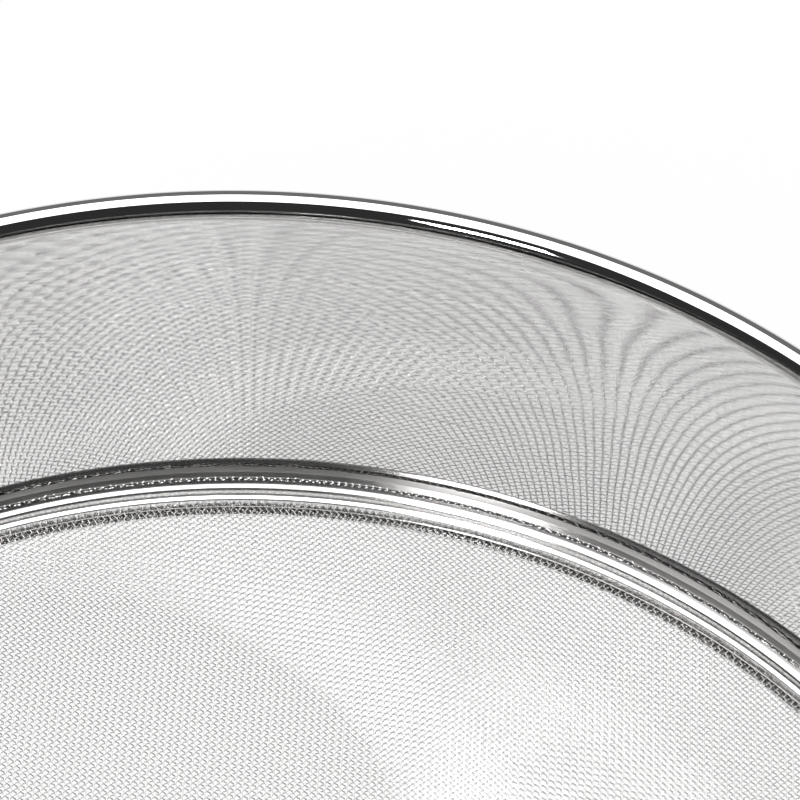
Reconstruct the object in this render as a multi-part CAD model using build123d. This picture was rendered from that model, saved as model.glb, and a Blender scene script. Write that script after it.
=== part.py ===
"""Drum sieve of polished stainless steel: a sheet hoop, a wire cloth and the two rings that clamp it.

Millimetres, +Z up. The origin is the centre of the base, on the plane that the sieve stands on.
+Y points to the far side of the photograph, +X to its right.
"""
import os
from math import cos, hypot, pi, radians, sin, tan
from build123d import *

# Drum: one strip of sheet, curled outward at the top and turned in flat at the foot
drum_bore = 250.0
drum_height = 68.7
drum_sheet = 0.6
foot_bend_radius = 0.8
foot_margin = 1.6

# Rim: the wall leans out on a wide lead-in bend before it closes into the curl
rim_curl_diameter = 4.7
rim_lead_radius = 7.0
rim_lead_angle = 22.0
rim_curl_sweep = 285.0

# Wire cloth: plain weave, cut round and turned up between the two rings
wire_diameter = 0.24
cloth_clearance = 0.1
cloth_bend_radius = 0.6
cloth_edge_height = 4.6
weave_angle = 39.4

# Holed face that stands for the weave: each gap is a block of the real meshes
net_pitch = 12.0
net_bar = 1.4
net_border = 1.0

# Backing ring: a flat bar hoop that stands in the foot of the drum
backing_width = 1.57
backing_height = 3.73
backing_edge_radius = 0.12
backing_wall_clearance = 0.1

# Retaining ring: a rolled sheet hoop with an upright face, an eased bevel and a flat crest
ring_sheet = 0.45
ring_height = 4.25
ring_width = 2.15
ring_bevel_rise = 1.125
ring_bevel_angle = 45.0
ring_bevel_radius = 1.39

# Faces that neighbours share, from the wall inward
wall_face = drum_bore / 2
foot_top = drum_sheet
cloth_thickness = 2 * wire_diameter
cloth_middle = foot_top + cloth_thickness / 2
cloth_top = foot_top + cloth_thickness
backing_outer = wall_face - backing_wall_clearance
backing_inner = backing_outer - backing_width
cloth_edge_radius = backing_inner - cloth_clearance - cloth_thickness / 2
ring_crest_radius = cloth_edge_radius - cloth_thickness / 2 - cloth_clearance
ring_face_radius = ring_crest_radius - ring_width
foot_radius = ring_face_radius - foot_margin


def sheet_hoop(path, sheet):
    """A hoop of revolution whose section is the path, with the sheet's thickness about it."""
    return revolve(Plane.XZ * trace(path, sheet), Axis.Z)


def drum_wall():
    """Hoop with its rim rolled outward and its foot turned in."""
    half = drum_sheet / 2
    middle = wall_face + half
    lead, lead_radius = radians(rim_lead_angle), rim_lead_radius - half
    curl_radius = rim_curl_diameter / 2 - half
    curl_z = drum_height - rim_curl_diameter / 2
    lead_z = curl_z + (curl_radius - lead_radius) * sin(lead)
    curl_x = middle + lead_radius - (lead_radius - curl_radius) * cos(lead)
    bend_radius = foot_bend_radius + half
    path = Curve() + [
        Line((foot_radius, half), (middle - bend_radius, half)),
        CenterArc((middle - bend_radius, half + bend_radius), bend_radius, -90, 90),
        Line((middle, half + bend_radius), (middle, lead_z)),
        CenterArc((middle + lead_radius, lead_z), lead_radius, 180, -rim_lead_angle),
        CenterArc((curl_x, curl_z), curl_radius, 180 - rim_lead_angle, -rim_curl_sweep),
    ]
    return sheet_hoop(path, drum_sheet)


def backing_ring():
    """Flat bar hoop on the turned-in foot, rounded to the foot's bend and with its upper edges broken."""
    width = backing_outer - backing_inner
    section = Rectangle(width, backing_height, align=(Align.MIN, Align.MIN))
    section = fillet(section.vertices().group_by(Axis.Y)[-1], backing_edge_radius)
    foot_corner = section.vertices().group_by(Axis.Y)[0].sort_by(Axis.X)[-1]
    section = fillet(foot_corner, foot_bend_radius)
    return revolve(Plane.XZ * Pos(backing_inner, foot_top) * section, Axis.Z)


def retaining_ring():
    """Rolled ring: it stands on the cloth, and its bevel and crest lean out over the cloth's edge."""
    half = ring_sheet / 2
    bevel = radians(ring_bevel_angle)
    face_x = ring_face_radius + half
    crest_z = cloth_top + ring_height - half
    bevel_foot = cloth_top + ring_height - ring_bevel_rise - half * tan(bevel / 2)
    bevel_head = ring_face_radius + ring_bevel_rise * tan(bevel) + half * tan(pi / 4 - bevel / 2)
    path = FilletPolyline(
        (face_x, cloth_top),
        (face_x, bevel_foot),
        (bevel_head, crest_z),
        (ring_crest_radius, crest_z),
        radius=ring_bevel_radius - half,
    )
    return sheet_hoop(path, ring_sheet)


def net_gap_places(limit):
    """Centres of the square gaps that lie wholly inside the limit radius."""
    gap = net_pitch - net_bar
    reach = int(limit // net_pitch) + 1
    places = []
    for i in range(-reach, reach + 1):
        for j in range(-reach, reach + 1):
            x, y = i * net_pitch, j * net_pitch
            if hypot(abs(x) + gap / 2, abs(y) + gap / 2) < limit:
                places.append((x, y))
    return places


def wire_cloth():
    """Flat cloth as one holed face, with its cut edge turned up between the two rings."""
    gap = net_pitch - net_bar
    inner = ring_face_radius - net_border
    places = net_gap_places(inner)
    face = Circle(inner) - Rot(0, 0, weave_angle) * Locations(*places) * Rectangle(gap, gap)
    net = extrude(Pos(0, 0, foot_top) * face, cloth_thickness)
    edge_path = FilletPolyline(
        (inner, cloth_middle),
        (cloth_edge_radius, cloth_middle),
        (cloth_edge_radius, foot_top + cloth_edge_height),
        radius=[cloth_bend_radius],
    )
    print("gaps in the net:", len(places))
    return net + sheet_hoop(edge_path, cloth_thickness)


pieces = {
    "drum_wall": drum_wall(),
    "backing_ring": backing_ring(),
    "wire_cloth": wire_cloth(),
    "retaining_ring": retaining_ring(),
}

os.makedirs("parts", exist_ok=True)
for name, piece in pieces.items():
    piece.label = name
    export_step(piece, f"parts/{name}.step")
    box = piece.bounding_box()
    print(name, "volume", round(piece.volume, 1), "size", box.size)
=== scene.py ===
"""Looks of the drum sieve: polished sheet, a satin backing ring and cloth woven wire by wire.

Metres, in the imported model's frame: +Z up, origin at the centre of the base, +Y to the far side.
"""
from math import atan2, cos, pi, radians, sin, tan

import bpy
import numpy as np
from mathutils import Matrix, Vector


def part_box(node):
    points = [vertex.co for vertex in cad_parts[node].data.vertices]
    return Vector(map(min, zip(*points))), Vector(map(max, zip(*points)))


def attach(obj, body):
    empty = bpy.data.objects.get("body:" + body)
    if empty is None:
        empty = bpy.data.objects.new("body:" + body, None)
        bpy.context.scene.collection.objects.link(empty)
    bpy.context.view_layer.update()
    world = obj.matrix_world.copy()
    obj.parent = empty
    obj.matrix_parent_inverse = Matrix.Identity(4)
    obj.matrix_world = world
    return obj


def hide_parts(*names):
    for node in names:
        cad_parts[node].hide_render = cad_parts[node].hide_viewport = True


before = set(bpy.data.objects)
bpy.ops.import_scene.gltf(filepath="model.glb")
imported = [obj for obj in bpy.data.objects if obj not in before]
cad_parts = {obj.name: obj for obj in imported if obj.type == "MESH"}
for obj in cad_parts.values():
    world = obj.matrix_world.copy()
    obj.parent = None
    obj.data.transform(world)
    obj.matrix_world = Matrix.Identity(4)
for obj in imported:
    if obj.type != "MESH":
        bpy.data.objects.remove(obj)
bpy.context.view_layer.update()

# Weave, measured on the cloth; its edge is turned up and cut slanting
WIRE = 0.24e-3
WARP_PITCH = 0.80e-3
WEFT_PITCH = 0.89e-3
WEAVE_TURN = radians(39.4)
WEAVE_SKEW = radians(1.36)
CLOTH_BEND = 0.6e-3
CLOTH_EDGE_FROM_WALL = 1.64e-3
CLOTH_EDGE_TOP = 4.78e-3
CUT_SLANT = radians(20)

# Wires as meshes: sides of a tube, its points beside each crossing in pitches, and pieces for each
# direction
WIRE_SIDES = 4
BESIDE_CROSSING = (-0.25, 0.25)
BUNDLES = 7

# The skewed grid is taken this many wires past the cloth's edge, a wire with fewer points than this
# is left out, and an end that rises less than this isn't cut slanting
SPARE_WIRES = 20
LEAST_POINTS = 3
LEAST_RISE = 0.3

# Drum: its wall, sheet and curl are the part's, its foot and lead-in are fitted to the photograph
WALL_RADIUS = 125.0e-3
SHEET = 0.6e-3
FOOT_RADIUS = 119.2e-3
FOOT_BEND = 0.8e-3
CURL_DIAMETER = 4.7e-3
LEAD_BEND_RADIUS = 2.0e-3
LEAD_BEND_ANGLE = radians(16)
LEAD_RADIUS = 12.3e-3
LEAD_ANGLE = radians(22)
CURL_SWEEP = radians(285)

# Retaining ring, stepped: radius and height of its middle line's corners, and the bend at each
RING_SHEET = 0.45e-3
RING_CORNERS = [
    (120.705e-3, 2.61e-3),
    (121.515e-3, 2.905e-3),
    (121.515e-3, 4.226e-3),
    (122.096e-3, 4.575e-3),
]
RING_BENDS = [0.075e-3, 0.375e-3, 0.375e-3, 1.675e-3]
RING_TOE = 0.1e-3
FIT_GAP = 0.1e-3

# Backing ring
BACKING_TOP = 4.73e-3
BACKING_LEAN = radians(5.5)
BACKING_EDGE_RADIUS = 0.12e-3
BACKING_BACK_RADIUS = 0.03e-3

# Fineness of the turned pieces
HOOP_STEPS = 540
ARC_STEP = radians(6)
SHARP_ANGLE = radians(35)
TINY = 1e-9

# Metals: base colour, and roughness from its least to its most
SHEET_COLOUR = (0.72, 0.715, 0.71)
SHEET_ROUGHNESS = (0.02, 0.05)
RING_COLOUR = (0.92, 0.91, 0.90)
RING_ROUGHNESS = (0.14, 0.22)
BAR_COLOUR = (0.46, 0.455, 0.45)
BAR_ROUGHNESS = (0.26, 0.34)
WIRE_COLOUR = (0.70, 0.70, 0.695)
WIRE_ROUGHNESS = (0.12, 0.12)

# Marks in the metals: noise features per metre along the hoop and up its wall, and bump heights
SHEET_LINES = (9.0, 2600.0)
SHEET_LINES_HEIGHT = 0.6e-6
SHEET_RIPPLE = (14.0, 60.0)
SHEET_RIPPLE_HEIGHT = 80e-6
RING_LINES = (12.0, 4000.0)
RING_LINES_HEIGHT = 0.5e-6
BAR_GRAIN = (40.0, 3000.0)
BAR_GRAIN_HEIGHT = 2e-6
FINE_DETAIL = 4.0
PLAIN_DETAIL = 1.0
NOISE_RANGE = (0.3, 0.7)
GLOSS_STRETCH = 0.8
QUARTER_TURN = 0.25

# Camera: focal length in pixels of the photograph, its place, and its turn
IMAGE_SIDE = 800
FOCAL_PIXELS = 4311.0
CAMERA_PLACE = Vector((0.0238, -0.3377, 0.5556))
CAMERA_DOWN = radians(48.99)
CAMERA_ROLL = radians(0.98)
CAMERA_NEAR = 0.01

# Light: a wide softbox over the far side, a small one behind the camera's left shoulder
SOFTBOX_PLACE = Vector((0.17, 0.43, 1.2))
SOFTBOX_SIZE = (1.65, 1.30)
SOFTBOX_WATTS = 17.8
KEY_PLACE = Vector((-0.66, -1.10, 1.0))
KEY_SIZE = (0.34, 0.40)
KEY_WATTS = 12.0

# Floor, and how much of its white the camera sees
FLOOR_SIDE = 6.0
FLOOR_COLOUR = 0.9
FLOOR_SHOWN_SHARE = 0.96

# Room: its brightness on the camera's side and beyond, and the Y of the directions between them
STUDIO_DARK = 0.035
STUDIO_FAR = 0.2
STUDIO_TURN = (0.05, 0.35)


def new_metal(name, colour, roughness):
    """A metal with its all-over values on the shader, with its node tree and shader."""
    material = bpy.data.materials.new(name)
    material.use_nodes = True
    shader = material.node_tree.nodes["Principled BSDF"]
    shader.inputs["Base Color"].default_value = (*colour, 1.0)
    shader.inputs["Metallic"].default_value = 1.0
    shader.inputs["Roughness"].default_value = sum(roughness) / 2
    return material, material.node_tree, shader


def stretched_noise(tree, scales, detail=FINE_DETAIL):
    """Noise with features drawn out round the hoop."""
    along, across = scales
    place = tree.nodes.new("ShaderNodeTexCoord")
    stretch = tree.nodes.new("ShaderNodeMapping")
    stretch.inputs["Scale"].default_value = (along, along, across)
    noise = tree.nodes.new("ShaderNodeTexNoise")
    noise.inputs["Scale"].default_value = 1.0
    noise.inputs["Detail"].default_value = detail
    tree.links.new(place.outputs["Object"], stretch.inputs["Vector"])
    tree.links.new(stretch.outputs["Vector"], noise.inputs["Vector"])
    return noise.outputs["Fac"]


def spread(tree, value, before, after):
    """The value, spread from one range over another."""
    reach = tree.nodes.new("ShaderNodeMapRange")
    reach.inputs["From Min"].default_value, reach.inputs["From Max"].default_value = before
    reach.inputs["To Min"].default_value, reach.inputs["To Max"].default_value = after
    tree.links.new(value, reach.inputs["Value"])
    return reach.outputs["Result"]


def vary_roughness(tree, shader, noise, roughness):
    """Roughness that follows the noise from its least to its most."""
    tree.links.new(spread(tree, noise, NOISE_RANGE, roughness), shader.inputs["Roughness"])


def add_bump(tree, shader, height, distance):
    """Bump of the given height, in metres, over the shader's earlier one."""
    bump = tree.nodes.new("ShaderNodeBump")
    bump.inputs["Strength"].default_value = 1.0
    bump.inputs["Distance"].default_value = distance
    tree.links.new(height, bump.inputs["Height"])
    earlier = shader.inputs["Normal"].links
    if earlier:
        tree.links.new(earlier[0].from_socket, bump.inputs["Normal"])
    tree.links.new(bump.outputs["Normal"], shader.inputs["Normal"])


def stretch_gloss(tree, shader):
    """Gloss drawn out to one side, as lines round the hoop do."""
    tangent = tree.nodes.new("ShaderNodeTangent")
    tangent.direction_type = "RADIAL"
    tangent.axis = "Z"
    shader.inputs["Anisotropic"].default_value = GLOSS_STRETCH
    shader.inputs["Anisotropic Rotation"].default_value = QUARTER_TURN
    tree.links.new(tangent.outputs["Tangent"], shader.inputs["Tangent"])


def polished_sheet():
    """Mirror-polished sheet with fine rolling lines round the hoop and a slight ripple."""
    material, tree, shader = new_metal("polished_sheet", SHEET_COLOUR, SHEET_ROUGHNESS)
    lines = stretched_noise(tree, SHEET_LINES)
    vary_roughness(tree, shader, lines, SHEET_ROUGHNESS)
    add_bump(tree, shader, stretched_noise(tree, SHEET_RIPPLE, PLAIN_DETAIL), SHEET_RIPPLE_HEIGHT)
    add_bump(tree, shader, lines, SHEET_LINES_HEIGHT)
    return material


def lined_metal(name, colour, roughness, scales, height):
    """A metal that fine lines round the hoop make less glossy."""
    material, tree, shader = new_metal(name, colour, roughness)
    stretch_gloss(tree, shader)
    lines = stretched_noise(tree, scales)
    vary_roughness(tree, shader, lines, roughness)
    add_bump(tree, shader, lines, height)
    return material


def arc(centre, radius, start, sweep):
    """Points of an arc in the section plane."""
    steps = max(2, round(abs(sweep) / ARC_STEP))
    angles = [start + sweep * k / steps for k in range(steps + 1)]
    return [Vector((centre[0] + radius * cos(a), centre[1] + radius * sin(a))) for a in angles]


def rounded(corners, radii):
    """A line through the corners, each inner corner rounded to its radius."""
    corners = [Vector(c) for c in corners]
    points = [corners[0]]
    for before, corner, after, radius in zip(corners, corners[1:], corners[2:], radii):
        back, on = (before - corner).normalized(), (after - corner).normalized()
        half = back.angle(on) / 2
        centre = corner + (back + on).normalized() * radius / sin(half)
        first = corner + back * radius / tan(half) - centre
        sweep = (pi - 2 * half) * (1 if back.x * on.y - back.y * on.x < 0 else -1)
        points += arc(centre, radius, atan2(first.y, first.x), sweep)
    return points + [corners[-1]]


def sheet_section(line, thickness):
    """Closed outline of a sheet that lies half to each side of the line."""
    line = [p for p, q in zip(line, [None, *line]) if q is None or (p - q).length > TINY]
    sides = []
    for before, point, after in zip([line[0], *line], line, [*line[1:], line[-1]]):
        along = (after - before).normalized()
        sides.append(Vector((-along.y, along.x)) * thickness / 2)
    left = [p + s for p, s in zip(line, sides)]
    right = [p - s for p, s in zip(line, sides)]
    return left + right[::-1]


def turned(name, outline, material):
    """A piece of revolution about the drum's axis from a closed outline."""
    outline = np.array([[p.x, p.y] for p in outline])
    count = len(outline)
    angles = np.arange(HOOP_STEPS) * 2 * pi / HOOP_STEPS
    x = np.outer(np.cos(angles), outline[:, 0])
    y = np.outer(np.sin(angles), outline[:, 0])
    z = np.broadcast_to(outline[:, 1], x.shape)
    vertices = np.stack([x, y, z], -1).reshape(-1, 3)
    hoop = np.arange(HOOP_STEPS)[:, None] * count
    after = (np.arange(HOOP_STEPS)[:, None] + 1) % HOOP_STEPS * count
    here = np.arange(count)[None]
    there = (here + 1) % count
    faces = np.stack([hoop + here, hoop + there, after + there, after + here], -1).reshape(-1, 4)
    radii, heights = outline.T
    twice_area = np.sum(radii * np.roll(heights, -1) - np.roll(radii, -1) * heights)
    if twice_area < 0:
        faces = faces[:, ::-1]
    piece = quad_mesh(name, vertices, faces, material)
    piece.data.set_sharp_from_angle(angle=SHARP_ANGLE)
    return piece


def stand_for(piece, node):
    """The piece shows in place of the node, hung from the root body, and the node is hidden."""
    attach(piece, "root")
    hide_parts(node)


def turn_drum():
    """The drum: turned-in foot, wall, lead-in bend and rim curl, all of one sheet."""
    half = SHEET / 2
    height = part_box("drum_wall")[1].z
    middle = WALL_RADIUS + half
    bend_out, lead_out = (Vector((-cos(a), sin(a))) for a in (LEAD_BEND_ANGLE, LEAD_ANGLE))
    bend_radius, lead_radius = LEAD_BEND_RADIUS - half, LEAD_RADIUS - half
    curl_radius = CURL_DIAMETER / 2 - half
    bend = Vector((middle + bend_radius, 0.0))
    lead = bend + (bend_radius - lead_radius) * bend_out
    curl = lead + (lead_radius - curl_radius) * lead_out
    rise = Vector((0.0, height - CURL_DIAMETER / 2 - curl.y))
    bend, lead, curl = bend + rise, lead + rise, curl + rise
    foot = rounded([(FOOT_RADIUS, half), (middle, half), (middle, bend.y)], [FOOT_BEND + half])
    rim = arc(bend, bend_radius, pi, -LEAD_BEND_ANGLE)[1:]
    rim += arc(lead, lead_radius, pi - LEAD_BEND_ANGLE, LEAD_BEND_ANGLE - LEAD_ANGLE)[1:]
    rim += arc(curl, curl_radius, pi - LEAD_ANGLE, -CURL_SWEEP)[1:]
    outline = sheet_section(foot + rim, SHEET)
    stand_for(turned("drum", outline, polished_sheet()), "drum_wall")


def cloth_edge():
    """Middle radius of the cloth's turned-up edge."""
    return WALL_RADIUS - CLOTH_EDGE_FROM_WALL


def turn_retaining_ring():
    """The rolled ring: toe on the cloth, face, sloping ledge, riser, and round crest with a flat lip."""
    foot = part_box("retaining_ring")[0].z
    middle = RING_CORNERS[0][0]
    lip_end = (cloth_edge() - WIRE - FIT_GAP, RING_CORNERS[-1][1])
    line = rounded([(middle, foot + RING_TOE), *RING_CORNERS, lip_end], RING_BENDS)
    face = middle - RING_SHEET / 2
    toe = arc((face - RING_TOE, foot + RING_TOE), RING_TOE, -pi / 2, pi / 2)
    outline = [Vector((face + RING_SHEET, foot)), *toe[:-1], *sheet_section(line, RING_SHEET)[::-1]]
    metal = lined_metal("pressed_ring", RING_COLOUR, RING_ROUGHNESS, RING_LINES, RING_LINES_HEIGHT)
    stand_for(turned("clamp_ring", outline, metal), "retaining_ring")


def turn_backing_ring():
    """The flat bar hoop between the cloth's edge and the wall."""
    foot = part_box("backing_ring")[0].z
    inner, outer, top = cloth_edge() + WIRE + FIT_GAP, WALL_RADIUS, BACKING_TOP
    back = top - (outer - inner) * tan(BACKING_LEAN)
    outline = rounded(
        [(inner, foot), (inner, top), (outer, back), (outer, foot), (inner, foot)],
        [BACKING_EDGE_RADIUS, BACKING_BACK_RADIUS, FOOT_BEND],
    )[:-1]
    metal = lined_metal("satin_bar", BAR_COLOUR, BAR_ROUGHNESS, BAR_GRAIN, BAR_GRAIN_HEIGHT)
    stand_for(turned("bar_hoop", outline, metal), "backing_ring")


def cloth_sizes():
    """Height of the cloth's middle, radius of its flat part, and run of its bend and of it all."""
    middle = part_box("wire_cloth")[0].z + WIRE
    flat = cloth_edge() - CLOTH_BEND
    bend_run = CLOTH_BEND * pi / 2
    run = flat + bend_run + CLOTH_EDGE_TOP - middle - CLOTH_BEND
    return middle, flat, bend_run, run


def wire_line(index, warp, sizes):
    """Centreline of one wire and the cloth's normals along it, or None where the cloth has ended."""
    middle, flat, bend_run, run = sizes
    turn = WEAVE_TURN
    lean = WEAVE_TURN + WEAVE_SKEW
    grid = np.array(
        [
            [cos(turn) / WARP_PITCH, sin(turn) / WARP_PITCH],
            [-sin(lean) / WEFT_PITCH, cos(lean) / WEFT_PITCH],
        ]
    )
    pitch = WEFT_PITCH if warp else WARP_PITCH
    reach = int(run / pitch) + SPARE_WIRES
    crossings = np.repeat(np.arange(-reach, reach + 1), 2)
    steps = crossings + np.tile(BESIDE_CROSSING, 2 * reach + 1)
    fixed = np.full_like(steps, index)
    cells = np.stack([fixed, steps] if warp else [steps, fixed], -1)
    flat_points = cells @ np.linalg.inv(grid).T
    out = np.hypot(flat_points[:, 0], flat_points[:, 1])
    inside = out < run
    if inside.sum() < LEAST_POINTS:
        return None
    flat_points, out, crossings = flat_points[inside], out[inside], crossings[inside]
    side = flat_points / np.maximum(out, TINY)[:, None]
    rise = np.where((crossings + index) % 2 == 0, 1, -1) * (1 if warp else -1) * WIRE / 2
    bent = np.clip((out - flat) / CLOTH_BEND, 0, pi / 2)
    past = np.clip(out - flat - bend_run, 0, None)
    radius = np.where(out > flat, flat + (CLOTH_BEND - rise) * np.sin(bent), out)
    height = middle + CLOTH_BEND - (CLOTH_BEND - rise) * np.cos(bent) + past
    points = np.column_stack([side * radius[:, None], height])
    normals = np.column_stack([-side * np.sin(bent)[:, None], np.cos(bent)])
    return points, normals


def cut_end(ring, heading):
    """A wire's last section, moved along the wire to the slanted cut of the turned-up edge."""
    if abs(heading[2]) < LEAST_RISE:
        return ring
    height = CLOTH_EDGE_TOP + (np.hypot(ring[:, 0], ring[:, 1]) - cloth_edge()) * tan(CUT_SLANT)
    return ring + heading * ((height - ring[:, 2]) / heading[2])[:, None]


def tube(points, normals, radius):
    """Vertices and faces of a closed tube round a line, its ends cut."""
    heading = np.gradient(points, axis=0)
    heading /= np.linalg.norm(heading, axis=1)[:, None]
    across = np.cross(normals, heading)
    across /= np.linalg.norm(across, axis=1)[:, None]
    up = np.cross(heading, across)
    angles = np.arange(WIRE_SIDES) * 2 * pi / WIRE_SIDES
    rings = np.stack([points + radius * (across * cos(a) + up * sin(a)) for a in angles], 1)
    rings[0] = cut_end(rings[0], heading[0])
    rings[-1] = cut_end(rings[-1], heading[-1])
    vertices = rings.reshape(-1, 3)
    start = np.arange(len(points) - 1)[:, None] * WIRE_SIDES
    faces = []
    for k in range(WIRE_SIDES):
        after = (k + 1) % WIRE_SIDES
        corners = [k, after, WIRE_SIDES + after, WIRE_SIDES + k]
        faces.append(np.hstack([start + corner for corner in corners]))
    last = len(vertices) - WIRE_SIDES
    ends = np.array([[3, 2, 1, 0], [last, last + 1, last + 2, last + 3]])
    return vertices, np.vstack([*faces, ends])


def quad_mesh(name, vertices, faces, material, flat_faces=()):
    """A mesh object of quads, smooth but for its flat faces."""
    mesh = bpy.data.meshes.new(name)
    mesh.vertices.add(len(vertices))
    mesh.vertices.foreach_set("co", vertices.astype(np.float32).ravel())
    mesh.loops.add(faces.size)
    mesh.loops.foreach_set("vertex_index", faces.astype(np.int32).ravel())
    mesh.polygons.add(len(faces))
    mesh.polygons.foreach_set("loop_start", np.arange(0, faces.size, 4, dtype=np.int32))
    smooth = np.ones(len(faces), bool)
    smooth[list(flat_faces)] = False
    mesh.polygons.foreach_set("use_smooth", smooth)
    mesh.update(calc_edges=True)
    mesh.materials.append(material)
    piece = bpy.data.objects.new(name, mesh)
    bpy.context.scene.collection.objects.link(piece)
    return piece


def weave_bundles(name, warp, material):
    """All wires of one direction, in side-by-side bundles of like size, each one piece."""
    sizes = cloth_sizes()
    pitch = WARP_PITCH if warp else WEFT_PITCH
    reach = int(sizes[-1] / pitch) + SPARE_WIRES
    tubes = []
    for index in range(-reach, reach + 1):
        line = wire_line(index, warp, sizes)
        if line:
            tubes.append(tube(*line, WIRE / 2))
    counts = np.cumsum([len(faces) for vertices, faces in tubes])
    bundle_of = np.minimum((counts - 1) * BUNDLES // counts[-1], BUNDLES - 1)
    pieces = []
    for bundle in range(BUNDLES):
        chosen = [t for t, b in zip(tubes, bundle_of) if b == bundle]
        starts = np.cumsum([0] + [len(vertices) for vertices, faces in chosen])
        vertices = np.vstack([v for v, f in chosen])
        faces = np.vstack([f + start for (v, f), start in zip(chosen, starts)])
        after = np.cumsum([len(f) for v, f in chosen])
        wire_ends = [*(after - 1), *(after - 2)]
        pieces.append(quad_mesh(f"{name}_{bundle + 1}", vertices, faces, material, wire_ends))
    return pieces


def weave_cloth():
    """The wire cloth, in place of the holed face."""
    metal, *_ = new_metal("drawn_wire", WIRE_COLOUR, WIRE_ROUGHNESS)
    for piece in weave_bundles("warp_wires", True, metal) + weave_bundles("weft_wires", False, metal):
        stand_for(piece, "wire_cloth")


def white_where_seen(tree):
    """The floor's share of white for the camera, one for a reflection, and nought for other light."""
    path = tree.nodes.new("ShaderNodeLightPath")
    either = tree.nodes.new("ShaderNodeMath")
    either.operation = "MAXIMUM"
    shown = tree.nodes.new("ShaderNodeMath")
    shown.operation = "MULTIPLY"
    shown.inputs[1].default_value = FLOOR_SHOWN_SHARE
    tree.links.new(path.outputs["Is Camera Ray"], shown.inputs[0])
    tree.links.new(shown.outputs["Value"], either.inputs[0])
    tree.links.new(path.outputs["Is Glossy Ray"], either.inputs[1])
    return either.outputs["Value"]


def lay_floor():
    """A plain white floor that keeps the object's shadow."""
    material = bpy.data.materials.new("white_floor")
    material.use_nodes = True
    tree = material.node_tree
    tree.nodes.clear()
    output = tree.nodes.new("ShaderNodeOutputMaterial")
    paper = tree.nodes.new("ShaderNodeBsdfDiffuse")
    paper.inputs["Color"].default_value = (FLOOR_COLOUR,) * 3 + (1.0,)
    glow = tree.nodes.new("ShaderNodeEmission")
    mix = tree.nodes.new("ShaderNodeMixShader")
    tree.links.new(white_where_seen(tree), mix.inputs["Fac"])
    tree.links.new(paper.outputs["BSDF"], mix.inputs[1])
    tree.links.new(glow.outputs["Emission"], mix.inputs[2])
    tree.links.new(mix.outputs["Shader"], output.inputs["Surface"])
    bpy.ops.mesh.primitive_plane_add(size=FLOOR_SIDE)
    floor = bpy.context.object
    floor.name = "floor"
    floor.data.materials.append(material)


def light_world():
    """White behind the object for the camera, and for metal a dim room, darker on the camera's side."""
    world = bpy.data.worlds.new("studio")
    bpy.context.scene.world = world
    world.use_nodes = True
    tree = world.node_tree
    tree.nodes.clear()
    output = tree.nodes.new("ShaderNodeOutputWorld")
    place = tree.nodes.new("ShaderNodeTexCoord")
    parts = tree.nodes.new("ShaderNodeSeparateXYZ")
    tree.links.new(place.outputs["Generated"], parts.inputs["Vector"])
    room = spread(tree, parts.outputs["Y"], STUDIO_TURN, (STUDIO_DARK, STUDIO_FAR))
    dim = tree.nodes.new("ShaderNodeBackground")
    tree.links.new(room, dim.inputs["Color"])
    white = tree.nodes.new("ShaderNodeBackground")
    white.inputs["Color"].default_value = (1.0, 1.0, 1.0, 1.0)
    path = tree.nodes.new("ShaderNodeLightPath")
    mix = tree.nodes.new("ShaderNodeMixShader")
    tree.links.new(path.outputs["Is Camera Ray"], mix.inputs["Fac"])
    tree.links.new(dim.outputs["Background"], mix.inputs[1])
    tree.links.new(white.outputs["Background"], mix.inputs[2])
    tree.links.new(mix.outputs["Shader"], output.inputs["Surface"])


def add_lamp(name, place, aim, size, watts):
    """A rectangular lamp at a place, turned to a point."""
    lamp = bpy.data.lights.new(name, "AREA")
    lamp.shape = "RECTANGLE"
    lamp.size, lamp.size_y = size
    lamp.energy = watts
    holder = bpy.data.objects.new(name, lamp)
    holder.location = place
    holder.rotation_euler = (aim - place).to_track_quat("-Z", "Y").to_euler()
    bpy.context.scene.collection.objects.link(holder)


def place_camera():
    """The photograph's camera."""
    camera = bpy.data.cameras.new("camera")
    camera.lens = FOCAL_PIXELS / IMAGE_SIDE * camera.sensor_width
    camera.clip_start = CAMERA_NEAR
    holder = bpy.data.objects.new("camera", camera)
    tilt = Matrix.Rotation(pi / 2 - CAMERA_DOWN, 4, "X") @ Matrix.Rotation(CAMERA_ROLL, 4, "Z")
    holder.matrix_world = Matrix.Translation(CAMERA_PLACE) @ tilt
    bpy.context.scene.collection.objects.link(holder)
    bpy.context.scene.camera = holder


turn_drum()
turn_retaining_ring()
turn_backing_ring()
weave_cloth()
lay_floor()
light_world()
below_softbox = Vector((SOFTBOX_PLACE.x, SOFTBOX_PLACE.y, 0.0))
add_lamp("softbox", SOFTBOX_PLACE, below_softbox, SOFTBOX_SIZE, SOFTBOX_WATTS)
add_lamp("key_light", KEY_PLACE, Vector(), KEY_SIZE, KEY_WATTS)
place_camera()
bpy.context.scene.view_settings.view_transform = "Standard"
